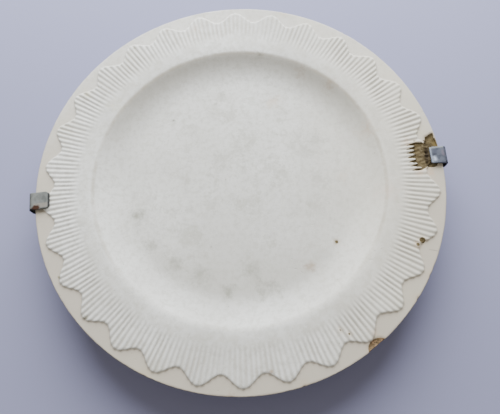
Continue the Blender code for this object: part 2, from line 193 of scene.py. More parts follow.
# Stains on the face: x, y, z, radius in millimetres, strength and colour.
GREY = (0.29, 0.285, 0.225)
DARK = (0.10, 0.095, 0.06)
OLIVE = (0.16, 0.14, 0.065)
BROWN = (0.36, 0.255, 0.17)
ORANGE = (0.60, 0.44, 0.30)
YELLOW = (0.66, 0.60, 0.37)
PINK = (0.66, 0.52, 0.43)
WELL_STAINS = (
    (-14.0, 75.0, 27.0, 6.0, 0.42, GREY), (27.5, 68.0, 27.0, 8.0, 0.42, ORANGE),
    (58.0, 37.0, 27.0, 8.0, 0.36, GREY), (2.0, 29.0, 27.0, 8.0, 0.32, GREY),
    (-75.0, -26.0, 27.0, 7.0, 0.80, GREY), (-63.0, -47.0, 27.0, 7.0, 0.60, GREY),
    (-46.0, -62.0, 27.0, 11.0, 0.60, GREY), (-28.0, -69.0, 27.0, 10.0, 0.58, GREY),
    (-8.0, -83.0, 27.0, 7.0, 0.75, GREY), (6.0, -66.0, 27.0, 9.0, 0.58, GREY),
    (22.0, -80.0, 27.0, 9.0, 0.75, GREY), (50.5, -64.0, 27.0, 7.5, 0.65, BROWN),
    (-36.0, -21.0, 27.0, 6.0, 0.30, GREY), (-19.0, 67.0, 27.0, 2.0, 0.60, GREY),
    (-52.0, 53.0, 27.0, 1.5, 0.70, DARK), (70.4, -45.6, 27.0, 2.2, 0.80, OLIVE),
    (79.0, 5.0, 27.0, 7.0, 0.34, ORANGE), (-57.0, 56.0, 27.0, 8.0, 0.30, GREY),
)
RIM_STAINS = (
    (47.6, 91.0, 34.0, 6.0, 0.45, BROWN), (70.0, 77.5, 34.0, 7.0, 0.45, BROWN),
    (95.0, 38.5, 34.0, 9.0, 0.45, ORANGE), (108.5, -10.0, 36.0, 12.0, 0.40, PINK),
    (16.0, 105.5, 36.0, 3.0, 0.55, DARK), (-119.0, 72.0, 36.5, 6.0, 0.45, YELLOW),
    (-59.4, 129.9, 36.8, 2.2, 0.70, BROWN), (-84.9, 113.7, 36.8, 1.8, 0.60, OLIVE),
    (-36.0, 131.0, 37.0, 6.0, 0.40, ORANGE), (-124.3, -71.7, 36.4, 1.7, 0.90, OLIVE),
    (-121.8, -74.5, 36.4, 1.4, 0.80, OLIVE), (-103.2, -99.4, 36.4, 1.8, 0.90, OLIVE),
    (21.9, -134.6, 36.4, 2.0, 0.85, BROWN), (90.4, -110.0, 36.6, 4.0, 0.45, ORANGE),
    (-3.4, -150.0, 35.0, 4.0, 0.70, BROWN), (141.0, 4.6, 36.0, 5.0, 0.70, ORANGE),
    (132.0, 3.5, 37.0, 6.0, 0.55, ORANGE), (125.0, 28.0, 37.0, 6.0, 0.45, ORANGE),
    (125.2, -50.5, 37.0, 3.6, 0.65, ORANGE), (147.6, 7.4, 35.8, 2.3, 0.75, OLIVE),
    (122.3, -86.9, 35.6, 1.6, 0.90, OLIVE), (131.4, -72.4, 35.6, 1.4, 0.80, DARK),
    (-96.0, 62.0, 37.0, 9.0, 0.25, YELLOW), (135.0, 36.0, 36.2, 7.0, 0.35, YELLOW),
)

# Pale and dark bars on the hooks, some worn, others painted highlights and painted shade:
# station, side, half length, half width, softness, strength and colour.
CLEAN_BARS = (
    # Painted highlight along the right hook's far edge, which faces the light.
    (146.5, 5.8, 5.4, 0.5, 0.9, 0.55, (0.34, 0.37, 0.36)),
    # Painted highlight across the right hook's rounded lip.
    (141.9, 0.0, 0.5, 5.8, 0.9, 0.50, (0.32, 0.37, 0.45)),
    (144.8, 3.0, 1.6, 1.2, 1.6, 0.70, (0.075, 0.082, 0.115)),
    # Painted reflection: a bluish-white patch on the right hook.
    (143.9, -2.8, 0.9, 1.7, 3.4, 0.85, (0.58, 0.65, 0.78)),
    (150.6, 1.2, 0.6, 2.2, 2.0, 0.45, (0.26, 0.18, 0.23)),
    # Painted shade along the right hook's near edge, which faces away from the light.
    (147.0, -6.3, 6.5, 0.3, 0.6, 0.85, (0.04, 0.045, 0.065)),
)
RUSTY_BARS = (
    (-145.0, -3.6, 5.0, 1.6, 0.9, 0.45, (0.33, 0.28, 0.225)),
    # Painted shade across the left hook's inner end, where the strip's end is in shadow.
    (-138.9, 0.4, 0.75, 6.4, 0.9, 0.95, (0.018, 0.018, 0.018)),
    # Painted shade along the left hook's near edge.
    (-142.4, -6.2, 3.0, 0.45, 0.9, 0.85, (0.04, 0.04, 0.035)),
    # Painted shade across the left hook's outer bend, whose outer face is in shadow.
    (-153.4, 0.0, 0.55, 6.5, 0.9, 0.75, (0.07, 0.07, 0.072)),
)
RUST_SPOT = (-147.4, -22.6, 38.9)

# centre, turn, half length, half width
CRACK = ((135.8, -54.3, 36.0), math.radians(-10.0), 3.9, 0.30)


# ---------------------------------------------------------------- camera, light and floor

def make_camera():
    """Camera above the near side, looking down at the mould's face."""
    data = bpy.data.cameras.new("camera")
    data.sensor_width = CAMERA_SENSOR
    data.lens = CAMERA_LENS
    camera = bpy.data.objects.new("camera", data)
    bpy.context.scene.collection.objects.link(camera)
    tilt_x, tilt_y = CAMERA_TILT
    turn = (Matrix.Rotation(tilt_x, 3, "X") @ Matrix.Rotation(tilt_y, 3, "Y")).transposed()
    spot = turn @ CAMERA_SPOT * MM
    camera.matrix_world = Matrix.Translation(spot + Vector((0, 0, FLANGE_Z * MM))) @ turn.to_4x4()
    bpy.context.scene.camera = camera


def make_light(name, spot, size, power, colour):
    """Soft area light aimed at the mould."""
    data = bpy.data.lights.new(name, "AREA")
    data.shape = "DISK"
    data.size = size
    data.energy = power
    data.color = colour
    light = bpy.data.objects.new(name, data)
    bpy.context.scene.collection.objects.link(light)
    light.location = spot
    light.rotation_mode = "QUATERNION"
    light.rotation_quaternion = (-Vector(spot)).to_track_quat("-Z", "Y")


def make_world(colour, strength):
    """Even light from all round."""
    world = bpy.data.worlds.new("studio")
    world.use_nodes = True
    back = world.node_tree.nodes["Background"]
    back.inputs["Color"].default_value = (*colour, 1.0)
    back.inputs["Strength"].default_value = strength
    bpy.context.scene.world = world


def make_floor():
    """Plain pale floor under the foot ring."""
    bm = bmesh.new()
    bmesh.ops.create_grid(bm, x_segments=1, y_segments=1, size=FLOOR_HALF)
    floor = mesh_object("floor", bm)
    shader = new_material("floor_paper").node_tree.nodes["Principled BSDF"]
    shader.inputs["Base Color"].default_value = FLOOR_COLOUR
    shader.inputs["Roughness"].default_value = FLOOR_ROUGHNESS
    floor.data.materials.append(bpy.data.materials["floor_paper"])


# ---------------------------------------------------------------- helpers

def mesh_object(name, bm):
    """Turn a finished bmesh into an object of the scene."""
    mesh = bpy.data.meshes.new(name)
    bm.to_mesh(mesh)
    bm.free()
    item = bpy.data.objects.new(name, mesh)
    bpy.context.scene.collection.objects.link(item)
    return item


def new_material(name):
    """Principled material."""
    material = bpy.data.materials.new(name)
    material.use_nodes = True
    return material


def apply_all(item):
    """Replace an object's mesh by what its modifiers make of it."""
    bpy.context.view_layer.update()
    graph = bpy.context.evaluated_depsgraph_get()
    item.data = bpy.data.meshes.new_from_object(item.evaluated_get(graph))
    item.modifiers.clear()


def cut(item, cutter):
    """Subtract a cutter from an object and drop the cutter."""
    boolean = item.modifiers.new("cut", "BOOLEAN")
    boolean.operation = "DIFFERENCE"
    boolean.solver = "EXACT"
    boolean.object = cutter
    apply_all(item)
    bpy.data.objects.remove(cutter, do_unlink=True)


def smooth_by_angle(item, degrees):
    """Shade smooth, with sharp edges above an angle."""
    bm = bmesh.new()
    bm.from_mesh(item.data)
    limit = math.radians(degrees)
    for face in bm.faces:
        face.smooth = True
    for edge in bm.edges:
        edge.smooth = len(edge.link_faces) != 2 or edge.calc_face_angle() < limit
    bm.to_mesh(item.data)
    bm.free()


def strap_frame(station=0.0):
    """Frame on the strap's line: X along it, Z up."""
    spot = Vector((math.cos(STRAP_ANGLE), math.sin(STRAP_ANGLE), 0.0)) * station * MM
    return Matrix.Translation(spot) @ Matrix.Rotation(STRAP_ANGLE, 4, "Z")


# ---------------------------------------------------------------- the mould's surface

def waves(x, y, scale, seed):
    """Smooth random field over points of the face, about -1 to 1, repeatable."""
    rng = np.random.default_rng(seed)
    total = np.zeros(np.broadcast(x, y).shape)
    for _ in range(9):
        heading = rng.uniform(0, math.tau)
        length = scale * rng.uniform(0.6, 1.7)
        offset = rng.uniform(0, math.tau)
        total += np.sin(math.tau * (x * math.cos(heading) + y * math.sin(heading)) / length + offset)
    return total / 3.6


def scallop(theta):
    """Radius of the scalloped edge."""
    lobe = np.cos(LOBES * (theta - PHASE))
    uneven = 0.35 * np.sin(3 * theta + 1.0) + 0.25 * np.sin(7 * theta + 2.0)
    return LOBE_MEAN + LOBE_HEIGHT * lobe + uneven


def cove_height(r):
    """Height of the face from the well's floor to the rim: its slope, added up along the radius."""
    steps = np.arange(WELL_R, LIP_R + 0.01, 0.25)
    slope = np.interp(steps, *zip(*COVE_STEEPNESS))
    rise = np.concatenate(([0.0], np.cumsum((slope[1:] + slope[:-1]) / 2)))
    return WELL_Z + (RIM_Z - WELL_Z) * np.interp(r, steps, rise / rise[-1])


def rib_wave(theta, r):
    """One on a rib's crest, zero in the groove beside it."""
    sway = 0.0016 * np.sin(theta * 23 + r * 0.11) + 0.0012 * np.sin(theta * 61 + 2)
    wave = 0.5 + 0.5 * np.cos(RIBS * (theta - PHASE + sway))
    return wave ** 0.75


def band_edge(theta):
    """Scalloped edge with a small round tip at each rib's end."""
    edge = scallop(theta)
    return edge + RIB_TIP * (rib_wave(theta, edge) - 0.5)


def rib_depth(theta, r):
    """Depth of the grooves: none at the lip, full near the scalloped edge, worn in places."""
    fade = np.clip((r - RIB_FADE_START) / (RIB_FADE_END - RIB_FADE_START), 0, 1)
    fade = fade * fade * (3 - 2 * fade)
    x, y = r * np.cos(theta), r * np.sin(theta)
    return RIB_DEPTH * fade * (0.88 + 0.22 * waves(x, y, 34.0, 3))


def inside_distance(x, y, outline):
    """Signed distance to a closed outline, positive inside it."""
    best = np.full(x.shape, 1e9)
    inside = np.zeros(x.shape, bool)
    for (ax, ay), (bx, by) in zip(outline, outline[1:] + outline[:1]):
        dx, dy = bx - ax, by - ay
        along = np.clip(((x - ax) * dx + (y - ay) * dy) / (dx * dx + dy * dy), 0, 1)
        best = np.minimum(best, np.hypot(x - ax - along * dx, y - ay - along * dy))
        crosses = (ay > y) != (by > y)
        with np.errstate(divide="ignore", invalid="ignore"):
            side = x < (bx - ax) * (y - ay) / (by - ay) + ax
        inside ^= crosses & side
    return np.where(inside, best, -best)


def break_field(x, y):
    """How far inside broken plaster a point of the face is, in millimetres."""
    theta, r = np.arctan2(y, x), np.hypot(x, y)
    corner = inside_distance(x, y, CORNER_BREAK)
    teeth = np.clip((COMB_END[0] - x) / 4.0, 0, 1) * np.clip((COMB_END[1] - y) / 2.0, 0, 1)
    comb = COMB_REACH * (0.5 - rib_wave(theta, r)) * teeth
    field = corner + comb + 0.25 * waves(x, y, 3.0, 5)
    for cx, cy, half, inward, _ in EDGE_CHIPS:
        angle = math.atan2(cy, cx)
        along = -(x - cx) * math.sin(angle) + (y - cy) * math.cos(angle)
        outward = (x - cx) * math.cos(angle) + (y - cy) * math.sin(angle)
        reach = np.hypot(along / half, np.minimum(outward - 1.2, 0) / (inward + 1.2))
        field = np.maximum(field, (1 - reach) * inward + 0.12 * waves(x, y, 2.0, 8))
    for cx, cy, radius, _ in SMALL_PITS:
        field = np.maximum(field, (radius - np.hypot(x - cx, y - cy)) * 0.8)
    return field


def break_depth(x, y, field):
    """How deep the broken places go below the face."""
    depth = np.clip(inside_distance(x, y, CORNER_BREAK) + 1.2, 0, 1.6) * 0.9
    cx, cy, half_x, half_y, down = CAVITY
    depth = depth + down * np.clip(1 - np.hypot((x - cx) / half_x, (y - cy) / half_y), 0, 1)
    for cx, cy, half, _, down in EDGE_CHIPS:
        near = np.clip(1.3 - np.hypot(x - cx, y - cy) / half, 0, 1)
        depth = np.maximum(depth, down * near)
    for cx, cy, radius, down in SMALL_PITS:
        near = np.clip(1.2 - np.hypot(x - cx, y - cy) / radius, 0, 1)
        depth = np.maximum(depth, down * near)
    rough = 1 + 0.14 * waves(x, y, 2.2, 11) + 0.16 * waves(x, y, 6.0, 12)
    return depth * np.clip(field / 0.5 + 0.2, 0, 1) * rough


def finish_face(theta, r, z, ribbed):
    """Add ribs, unevenness and damage to a ring of the face; returns heights and marks."""
    x, y = r * np.cos(theta), r * np.sin(theta)
    groove = 1 - rib_wave(theta, r)
    field = break_field(x, y)
    if ribbed:
        z = z - rib_depth(theta, r) * groove * np.clip(1 - field / 0.7, 0, 1)
    z = z + 0.07 * waves(x, y, 60.0, 21) + 0.03 * waves(x, y, 17.0, 22)
    z = z - break_depth(x, y, field)
    return z, field, groove * ribbed


class Rings:
    """Collects rings of points, from the face's centre round to the back's, and joins them."""

    def __init__(self):
        self.bm = bmesh.new()
        self.chip = self.bm.verts.layers.float.new("chip")
        self.foot = self.bm.verts.layers.float.new("foot")
        self.groove = self.bm.verts.layers.float.new("groove")
        self.last = None

    def add(self, theta, r, z, chip=UNBROKEN, foot=0.0, groove=0.0):
        """Add one ring and join it to the last one; one ring may be a multiple of the other."""
        count = len(theta)
        r, z, chip, foot, groove = (
            np.broadcast_to(value, count) for value in (r, z, chip, foot, groove)
        )
        ring = []
        for k in range(count):
            spot = (r[k] * math.cos(theta[k]) * MM, r[k] * math.sin(theta[k]) * MM, z[k] * MM)
            vert = self.bm.verts.new(spot)
            vert[self.chip] = chip[k]
            vert[self.foot] = foot[k]
            vert[self.groove] = groove[k]
            ring.append(vert)
        if self.last is not None:
            self.join(self.last, ring)
        self.last = ring

    def join(self, inner, outer):
        """Fill between two rings with quads, or with fans where one is finer."""
        few = min(len(inner), len(outer))
        a, b = len(inner) // few, len(outer) // few
        for k in range(few):
            low = [inner[(k * a + j) % len(inner)] for j in range(a + 1)]
            high = [outer[(k * b + j) % len(outer)] for j in range(b + 1)]
            self.bm.faces.new(low[::-1] + high)

    def close(self, z):
        """Close the open end with a fan to one point on the axis."""
        middle = self.bm.verts.new((0.0, 0.0, z * MM))
        count = len(self.last)
        for k in range(count):
            self.bm.faces.new((self.last[k], middle, self.last[(k + 1) % count]))


def angles(count):
    """Evenly spaced angles, the first on a rib's crest."""
    return PHASE + math.tau * np.arange(count) / count


def add_well(rings):
    """Floor of the well and the cove up to the lip."""
    middle = rings.bm.verts.new((0.0, 0.0, WELL_Z * MM))
    for r, count in WELL_RINGS:
        first = rings.last is None
        theta = angles(count)
        z, field, _ = finish_face(theta, np.full(count, float(r)), WELL_Z, False)
        rings.add(theta, float(r), z, field)
        if first:
            for k in range(count):
                rings.bm.faces.new((middle, rings.last[k], rings.last[(k + 1) % count]))
    theta = angles(PLAIN_STEPS)
    for r in np.linspace(WELL_R, LIP_R, COVE_RINGS):
        z, field, _ = finish_face(theta, np.full(PLAIN_STEPS, r), cove_height(r), False)
        rings.add(theta, r, z, field)


def add_band(rings):
    """Ribbed band out to the scalloped edge, and the step down to the flange."""
    theta = angles(FINE_STEPS)
    edge = band_edge(theta)
    for share in np.linspace(0.03, 1.0, BAND_RINGS):
        r = LIP_R + share * (edge - RIB_TIP - LIP_R)
        z, field, groove = finish_face(theta, r, RIM_Z, True)
        rings.add(theta, r, z, field, 0.0, groove)
    for out, drop, foot in STEP_RINGS:
        r = edge + out
        worn = 0.12 * waves(r * np.cos(theta), r * np.sin(theta), 5.0, 31)
        z, field, groove = finish_face(theta, r + worn * (drop < STEP_HEIGHT), RIM_Z - drop, False)
        ribs = rib_depth(theta, r) * (1 - rib_wave(theta, r)) * np.clip(1 - field / 0.7, 0, 1)
        z = z - ribs * max(0.0, 1 - drop)
        rings.add(theta, r, z, field, foot, groove)


def add_flange(rings):
    """Flat flange, the rounded rim edge and the edge's wall."""
    theta = angles(FLANGE_STEPS)
    edge = band_edge(theta) + STEP_WIDTH
    for share in FLANGE_SHARES:
        r = edge + share * (DISC_R - 0.6 - edge)
        z, field, _ = finish_face(theta, r, FLANGE_Z, False)
        # The inner flange carries a little of the foot's darkening, dirty and painted shade.
        rings.add(theta, r, z, field, max(0.0, 0.4 - share * 2))
    for radius, drop in EDGE_RINGS:
        nibble = 0.12 * waves(radius * np.cos(theta), radius * np.sin(theta), 7.0, 41)
        z, field, _ = finish_face(theta, np.full(FLANGE_STEPS, radius), FLANGE_Z - drop, False)
        bite = np.clip(field, 0, 3) * 0.35 * math.exp(-drop)
        rings.add(theta, radius - np.abs(nibble) - bite, z, field - drop * 0.6)


def add_back(rings):
    """Edge's foot, tapering back, foot ring and hollow."""
    theta = angles(PLAIN_STEPS)
    path = [(149.75, 31.5), EDGE_FOOT, (149.2, 28.2), BACK_TOP]
    for share in BACK_SHARES:
        path.append(tuple(a + (b - a) * share for a, b in zip(BACK_TOP, BACK_FOOT)))
    path += [(108.5, 2.4), (107.9, 1.0), (FOOT_OUT, 0.25), (106.9, 0.0), (102.0, 0.0), (95.0, 0.0)]
    path += [(FOOT_IN + 0.6, 0.0), (FOOT_IN - 0.1, 0.5), (88.2, 5.5), HOLLOW_TOP, (85.4, 12.4)]
    path += [(r, HOLLOW_Z) for r in HOLLOW_CEILING_RADII]
    for r, z in path:
        x, y = r * np.cos(theta), r * np.sin(theta)
        lump = 0.16 * waves(x + z * 3, y, 38.0, 51) * (z > 0.6)
        rings.add(theta, r + lump * 0.4 - 0.1, z + lump * 0.5 if z > 1.5 else z)
    rings.close(HOLLOW_Z)


def build_mold():
    """The whole plaster block, with the strap's channel cut through its foot ring."""
    rings = Rings()
    add_well(rings)
    add_band(rings)
    add_flange(rings)
    add_back(rings)
    bmesh.ops.recalc_face_normals(rings.bm, faces=rings.bm.faces)
    mold = mesh_object("plaster_block", rings.bm)
    for side in (-1, 1):
        cutter = bmesh.new()
        height = (CHANNEL_TOP + CUTTER_SPARE) * MM
        size = Matrix.Diagonal((CHANNEL_LENGTH * MM, 2 * CHANNEL_HALF * MM, height, 1))
        middle = (CHANNEL_TOP - CUTTER_SPARE) / 2 * MM
        place = Matrix.Translation((side * CHANNEL_MIDDLE * MM, 0, middle))
        bmesh.ops.create_cube(cutter, size=1.0, matrix=strap_frame() @ place @ size)
        cut(mold, mesh_object("channel", cutter))
    smooth_by_angle(mold, MOLD_SMOOTH)
    mold.data.materials.clear()
    mold.data.materials.append(plaster_material())
    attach(mold, "mold")
    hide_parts("plaster_mold")


# ---------------------------------------------------------------- straps

def rounded(points, radii, steps=8):
    """Round the inner corners of an open path."""
    path = [Vector(points[0])]
    for before, corner, after, radius in zip(points, points[1:], points[2:], radii):
        corner = Vector(corner)
        back = (Vector(before) - corner).normalized()
        ahead = (Vector(after) - corner).normalized()
        half = back.angle(ahead) / 2
        centre = corner + (back + ahead).normalized() * (radius / math.sin(half))
        start = corner + back * (radius / math.tan(half)) - centre
        sweep = start.angle_signed(corner + ahead * (radius / math.tan(half)) - centre)
        for step in range(steps + 1):
            path.append(centre + Matrix.Rotation(-sweep * step / steps, 2) @ start)
    path.append(Vector(points[-1]))
    return path


def refine(path, longest):
    """Add points so no stretch of a path is longer than a length."""
    fine = [path[0]]
    for first, second in zip(path, path[1:]):
        parts = max(1, math.ceil((second - first).length / longest))
        for part in range(1, parts + 1):
            fine.append(first.lerp(second, part / parts))
    return fine


def askew(spot, skew):
    """Turn the hook a little in plan, fading out down its slope."""
    share = 0.0
    if spot.z > SKEW_FLOOR:
        share = min(1.0, max(0.0, (spot.x - SKEW_START) / SKEW_RUN))
    arm = spot - HOOK_PIVOT
    return HOOK_PIVOT + Matrix.Rotation(skew * share, 3, "Z") @ arm


def strap_ribbon(name, hook_in, level, end, mirrored, corner, skew=0.0):
    """Bent strip with rounded lip corners, as a sheet; its hook may sit a little askew."""
    slope_top = BACK_LINE[1] + (HOOK_OUT - BACK_LINE[0]) * BACK_SLOPE
    bend = BACK_LINE[0] + (level - BACK_LINE[1]) / BACK_SLOPE
    corners = [(hook_in, HOOK_Z), (HOOK_OUT, HOOK_Z), (HOOK_OUT, slope_top), (bend, level), (end, level)]
    path = refine(rounded(corners, BEND_RADII), STRAP_PIECE)
    side = -1 if mirrored else 1
    bm = bmesh.new()
    rows = []
    for point in path:
        from_tip = abs(point.x - hook_in) if point.y > FLANGE_Z + 1 else corner
        inset = max(0.0, corner - from_tip)
        half = STRAP_HALF - corner + math.sqrt(max(corner ** 2 - inset ** 2, 0.0))
        row = []
        for share in STRAP_SHARES:
            spot = askew(Vector((point.x, share * half, point.y)), skew)
            spot.x = side * spot.x
            row.append(bm.verts.new(strap_frame() @ (spot * MM)))
        rows.append(row)
    for near, far in zip(rows, rows[1:]):
        for k in range(len(STRAP_SHARES) - 1):
            bm.faces.new((near[k], near[k + 1], far[k + 1], far[k]))
    bmesh.ops.recalc_face_normals(bm, faces=bm.faces)
    return mesh_object(name, bm)


def thicken(strap):
    """Give the strip its thickness and soft edges."""
    solid = strap.modifiers.new("sheet", "SOLIDIFY")
    solid.thickness = STRAP_THICK * MM
    solid.offset = 0.0
    solid.use_even_offset = True
    bevel = strap.modifiers.new("edge", "BEVEL")
    bevel.width = STRAP_BEVEL * MM
    bevel.segments = 2
    bevel.limit_method = "ANGLE"
    bevel.angle_limit = math.radians(50)
    apply_all(strap)


def round_hole(strap, start, end, radius, level):
    """Cut a round hole, or a slot when its two ends differ."""
    bm = bmesh.new()
    corners = []
    for station, first in ((end, -math.pi / 2), (start, math.pi / 2)):
        for step in range(HOLE_STEPS + 1):
            angle = first + math.pi * step / HOLE_STEPS
            spot = Vector((station + radius * math.cos(angle), radius * math.sin(angle), level - 2))
            corners.append(bm.verts.new(strap_frame() @ (spot * MM)))
    if start == end:
        bmesh.ops.remove_doubles(bm, verts=bm.verts, dist=MM * 0.01)
    face = bm.faces.new(list(bm.verts))
    grown = bmesh.ops.extrude_face_region(bm, geom=[face])
    moved = [item for item in grown["geom"] if isinstance(item, bmesh.types.BMVert)]
    bmesh.ops.translate(bm, verts=moved, vec=(0, 0, 4 * MM))
    bmesh.ops.recalc_face_normals(bm, faces=bm.faces)
    cut(strap, mesh_object("hole", bm))


def finish_strap(strap, body, node, look):
    """Shade a finished strap and tie it to its body."""
    smooth_by_angle(strap, STRAP_SMOOTH)
    strap.data.materials.clear()
    strap.data.materials.append(look)
    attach(strap, body)
    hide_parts(node)


def build_straps():
    """Both straps of the hanger, with their holes and slot."""
    right = strap_ribbon(
        "right_strap_sheet", RIGHT_LIP, RIGHT_LEVEL, RIGHT_END, False, RIGHT_CORNER, RIGHT_SKEW
    )
    thicken(right)
    for station in SCREW_STATIONS:
        round_hole(right, station, station, SCREW_HOLE, RIGHT_LEVEL)
    for station in RIVET_STATIONS:
        round_hole(right, station, station, RIVET_HOLE, RIGHT_LEVEL)
    finish_strap(right, "mold", "right_strap", clean_steel())
    left = strap_ribbon("left_strap_sheet", LEFT_LIP, LEFT_LEVEL, LEFT_END, True, LEFT_CORNER)
    thicken(left)
    round_hole(left, SLOT_ENDS[0], SLOT_ENDS[1], SCREW_HOLE, LEFT_LEVEL)
    finish_strap(left, "left_strap", "left_strap", rusty_steel())


# ---------------------------------------------------------------- materials

class Look:
    """Small helper for wiring one material's nodes."""

    def __init__(self, name):
        self.material = new_material(name)
        self.tree = self.material.node_tree
        self.shader = self.tree.nodes["Principled BSDF"]
        self.place = self.tree.nodes.new("ShaderNodeTexCoord").outputs["Object"]

    def link(self, source, target):
        """Join two sockets."""
        self.tree.links.new(source, target)

    def fill(self, socket, value):
        """Wire a socket, or set it to a constant."""
        if hasattr(value, "links"):
            self.link(value, socket)
        elif isinstance(value, tuple):
            socket.default_value = (*value, 1.0) if len(value) == 3 else value
        else:
            socket.default_value = value

    def noise(self, scale, detail=4.0, roughness=0.55, shift=0.0):
        """Noise over the object's own coordinates; scale is in waves per metre."""
        node = self.tree.nodes.new("ShaderNodeTexNoise")
        node.noise_dimensions = "4D"
        node.inputs["W"].default_value = shift
        node.inputs["Scale"].default_value = scale
        node.inputs["Detail"].default_value = detail
        node.inputs["Roughness"].default_value = roughness
        self.link(self.place, node.inputs["Vector"])
        return node.outputs["Fac"]

    def ramp(self, value, low, high, start=0.0, end=1.0):
        """Map low..high onto start..end, clamped."""
        node = self.tree.nodes.new("ShaderNodeMapRange")
        node.interpolation_type = "SMOOTHSTEP"
        self.fill(node.inputs["Value"], value)
        limits = {"From Min": low, "From Max": high, "To Min": start, "To Max": end}
        for name, number in limits.items():
            node.inputs[name].default_value = number
        return node.outputs["Result"]

    def math(self, operation, first, second=0.0):
        """Arithmetic on two values."""
        node = self.tree.nodes.new("ShaderNodeMath")
        node.operation = operation
        self.fill(node.inputs[0], first)
        self.fill(node.inputs[1], second)
        return node.outputs["Value"]

    def times(self, first, second):
        """Product of two values."""
        return self.math("MULTIPLY", first, second)

    def mix(self, share, first, second):
        """Mix two colours."""
        node = self.tree.nodes.new("ShaderNodeMix")
        node.data_type = "RGBA"
        self.fill(node.inputs["Factor"], share)
        self.fill(node.inputs[6], first)
        self.fill(node.inputs[7], second)
        return node.outputs[2]

    def paint(self, body, mask, strength, colour):
        """Lay a colour over the body's where a mask is, at a strength."""
        return self.mix(self.times(mask, strength), body, colour)

    def attribute(self, name):
        """Value stored on the mesh's points."""
        node = self.tree.nodes.new("ShaderNodeAttribute")
        node.attribute_name = name
        return node.outputs["Fac"]

    def distance(self, centre, stretch=(1.0, 1.0, 1.0), turn=0.0):
        """Distance from a point of the object, in metres, stretched along axes turned about Z."""
        node = self.tree.nodes.new("ShaderNodeMapping")
        node.vector_type = "TEXTURE"
        node.inputs["Location"].default_value = [value * MM for value in centre]
        node.inputs["Rotation"].default_value = (0.0, 0.0, turn)
        node.inputs["Scale"].default_value = stretch
        self.link(self.place, node.inputs["Vector"])
        length = self.tree.nodes.new("ShaderNodeVectorMath")
        length.operation = "LENGTH"
        self.link(node.outputs["Vector"], length.inputs[0])
        return length.outputs["Value"]

    def blotch(self, centre, radius, wobble, shift, stretch=(1.0, 1.0, 1.0), turn=0.0):
        """Soft-edged, noise-broken spot: one at its centre, zero outside."""
        rough = self.times(self.noise(wobble, 4.0, 0.65, shift), radius * MM * 1.4)
        reach = self.math("ADD", self.distance(centre, stretch, turn), rough)
        return self.ramp(reach, radius * MM * 0.55, radius * MM * 1.5, 1.0, 0.0)

    def stains(self, body, table, wobble, shift):
        """Paint a table of stains, whose outlines and insides one noise breaks up."""
        cloud = self.noise(wobble, 6.0, 0.75, shift)
        for x, y, z, radius, strength, colour in table:
            rough = self.times(cloud, radius * MM * 5.0)
            reach = self.math("ADD", self.distance((x, y, z), (1.0, 1.0, 2.0)), rough)
            mask = self.ramp(reach, radius * MM * 2.0, radius * MM * 3.6, strength, 0.0)
            body = self.mix(mask, body, colour)
        return body

    def bar(self, station, side, half_long, half_wide, soft=0.5):
        """One inside a small rectangle of the strap's plane, zero outside, with soft sides."""
        node = self.tree.nodes.new("ShaderNodeMapping")
        node.vector_type = "TEXTURE"
        spot = strap_frame(station) @ Vector((0.0, side * MM, 0.0))
        node.inputs["Location"].default_value = spot
        node.inputs["Rotation"].default_value = (0.0, 0.0, STRAP_ANGLE)
        self.link(self.place, node.inputs["Vector"])
        apart = self.tree.nodes.new("ShaderNodeSeparateXYZ")
        self.link(node.outputs["Vector"], apart.inputs["Vector"])
        uneven = self.times(self.noise(330.0, 4.0, 0.6, station + side), soft * MM)
        mask = None
        for axis, half in (("X", half_long), ("Y", half_wide)):
            reach = self.math("ADD", self.math("ABSOLUTE", apart.outputs[axis]), uneven)
            share = self.ramp(reach, half * MM, (half + soft) * MM, 1.0, 0.0)
            mask = share if mask is None else self.times(mask, share)
        return mask

    def wear_highlight_and_shade_bars(self, body, table):
        """Paint a table of soft rectangles on a strap."""
        for station, side, half_long, half_wide, soft, strength, colour in table:
            mask = self.bar(station, side, half_long, half_wide, soft)
            body = self.paint(body, mask, strength, colour)
        return body

    def coordinate(self, axis):
        """One of the object's own coordinates, in metres."""
        node = self.tree.nodes.new("ShaderNodeSeparateXYZ")
        self.link(self.place, node.inputs["Vector"])
        return node.outputs[axis]

    def bump(self, height, strength, distance, below=None):
        """Fine relief, laid over another relief where there is one."""
        node = self.tree.nodes.new("ShaderNodeBump")
        node.inputs["Strength"].default_value = strength
        node.inputs["Distance"].default_value = distance
        self.fill(node.inputs["Height"], height)
        if below is not None:
            self.link(below, node.inputs["Normal"])
        return node.outputs["Normal"]


def plaster_material():
    """Off-white cast plaster: mottled, stained, dirty in its corners, brown where broken, with painted
    shade and shadow.
    """
    look = Look("cast_plaster")
    radius = look.distance((0.0, 0.0, 33.0), (1.0, 1.0, 5.0))
    body = mottled_plaster(look, radius)
    body = corners_dirty_and_shaded(look, body, radius)
    body = look.stains(body, WELL_STAINS, 110.0, 30.0)
    body = look.stains(body, RIM_STAINS, 260.0, 31.0)
    body = edge_and_back(look, body, radius)
    inside_break = look.attribute("chip")
    crumbs = look.times(look.noise(900.0, 3.0, 0.6, 12.0), 0.5)
    broken = look.ramp(look.math("ADD", inside_break, crumbs), 0.18, 0.42)
    halo = look.ramp(look.attribute("chip"), -2.4, 0.1)
    body = look.paint(body, halo, 0.34, (0.55, 0.44, 0.30))
    body = look.mix(broken, body, core_colour(look))
    look.fill(look.shader.inputs["Base Color"], body)
    worn = look.ramp(look.noise(90.0, 4.0, 0.6, 13.0), 0.3, 0.7, 0.72, 0.92)
    look.fill(look.shader.inputs["Roughness"], worn)
    look.shader.inputs["Specular IOR Level"].default_value = 0.28
    pits = look.bump(look.ramp(look.noise(420.0, 2.0, 0.5, 14.0), 0.66, 0.76, 1.0, 0.0), 0.35, 0.0004)
    grain = look.bump(look.noise(1500.0, 5.0, 0.7, 15.0), 0.30, 0.00025, pits)
    rough = look.times(look.noise(650.0, 5.0, 0.75, 16.0), broken)
    look.link(look.bump(rough, 0.6, 0.0010, grain), look.shader.inputs["Normal"])
    return look.material


